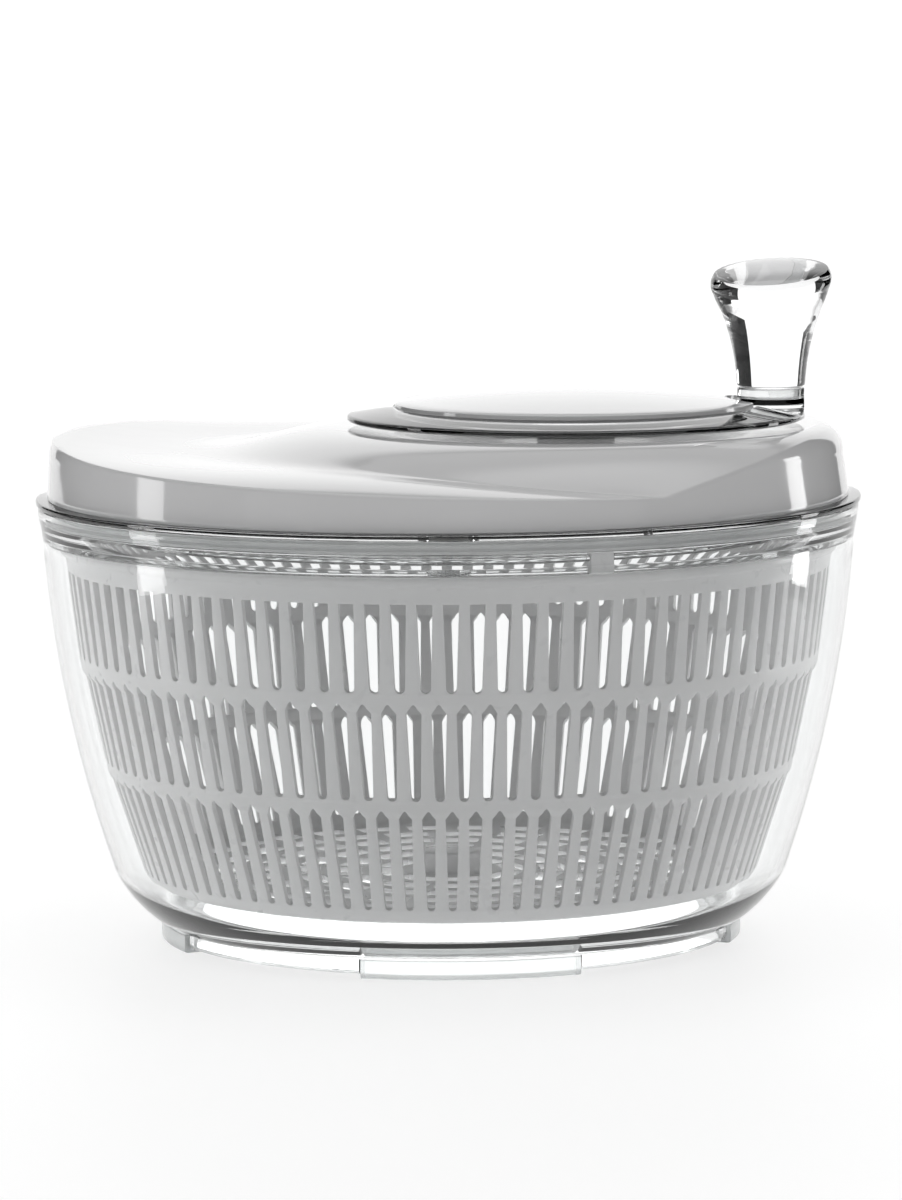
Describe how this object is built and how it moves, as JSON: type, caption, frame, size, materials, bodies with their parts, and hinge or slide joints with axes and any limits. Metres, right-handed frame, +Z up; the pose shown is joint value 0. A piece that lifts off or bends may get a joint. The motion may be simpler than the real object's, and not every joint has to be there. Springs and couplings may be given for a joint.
{
  "type": "salad spinner",
  "caption": "Crank salad spinner: clear bowl, slotted white basket, and a white lid whose offset crank drives the basket through an internal gear.",
  "frame": {"origin": "middle of the bowl's foot, on the surface it stands on", "axes": "+Z up along the bowl axis, +X from the bowl axis towards the crank axis"},
  "size_m": [0.28, 0.28, 0.23],
  "materials": {
    "clear": "clear moulded SAN plastic, polished",
    "clear_knob": "thick clear acrylic, polished",
    "white_gloss": "white ABS, high gloss",
    "white_basket": "white polypropylene, soft gloss",
    "gear_plastic": "natural acetal",
    "pad": "soft translucent elastomer",
    "seal": "translucent silicone",
    "steel": "bright zinc or stainless steel"
  },
  "bodies": {
    "bowl": {"bowl": "clear", "foot_pads": "pad", "pivot_pin": "steel"},
    "lid": {"lid_shell": "white_gloss", "lid_base": "clear", "lid_seal": "seal", "lid_screws": "steel", "crank_bush": "gear_plastic", "pinion_bush": "gear_plastic"},
    "crank": {"crank_disc": "clear", "crank_cap": "white_gloss", "crank_axle": "gear_plastic", "ring_gear": "gear_plastic", "axle_washer": "steel", "axle_screw": "steel", "knob_spindle": "clear_knob"},
    "knob": {"knob": "clear_knob"},
    "drive": {"pinion": "gear_plastic", "drive_shaft": "steel", "drive_plate": "clear", "shaft_clip": "steel"},
    "pivot": {"pivot_cup": "gear_plastic"},
    "basket": {"basket": "white_basket"}
  },
  "joints": [
    {"name": "lid_lift", "type": "slide", "parent": "bowl", "child": "lid", "axis": [0, 0, 1], "range_m": [0, 0.4]},
    {"name": "crank_spin", "type": "hinge", "parent": "lid", "child": "crank", "pos_m": [0.044, 0, 0.175], "axis": [0, 0, 1], "continuous": true},
    {"name": "knob_spin", "type": "hinge", "parent": "crank", "child": "knob", "pos_m": [0.109, 0.01146, 0.2], "axis": [0, 0, 1], "continuous": true},
    {"name": "drive_spin", "type": "hinge", "parent": "lid", "child": "drive", "pos_m": [0, 0, 0.15], "axis": [0, 0, 1], "continuous": true},
    {"name": "basket_lift", "type": "slide", "parent": "bowl", "child": "pivot", "axis": [0, 0, 1], "range_m": [0, 0.2]},
    {"name": "basket_spin", "type": "hinge", "parent": "pivot", "child": "basket", "pos_m": [0, 0, 0.02], "axis": [0, 0, 1], "continuous": true}
  ],
  "couplings": [
    {"joint": "drive_spin", "follows": "crank_spin", "ratio": 3.75},
    {"joint": "basket_spin", "follows": "crank_spin", "ratio": 3.75},
    {"joint": "basket_lift", "follows": "lid_lift", "ratio": 0.5}
  ]
}
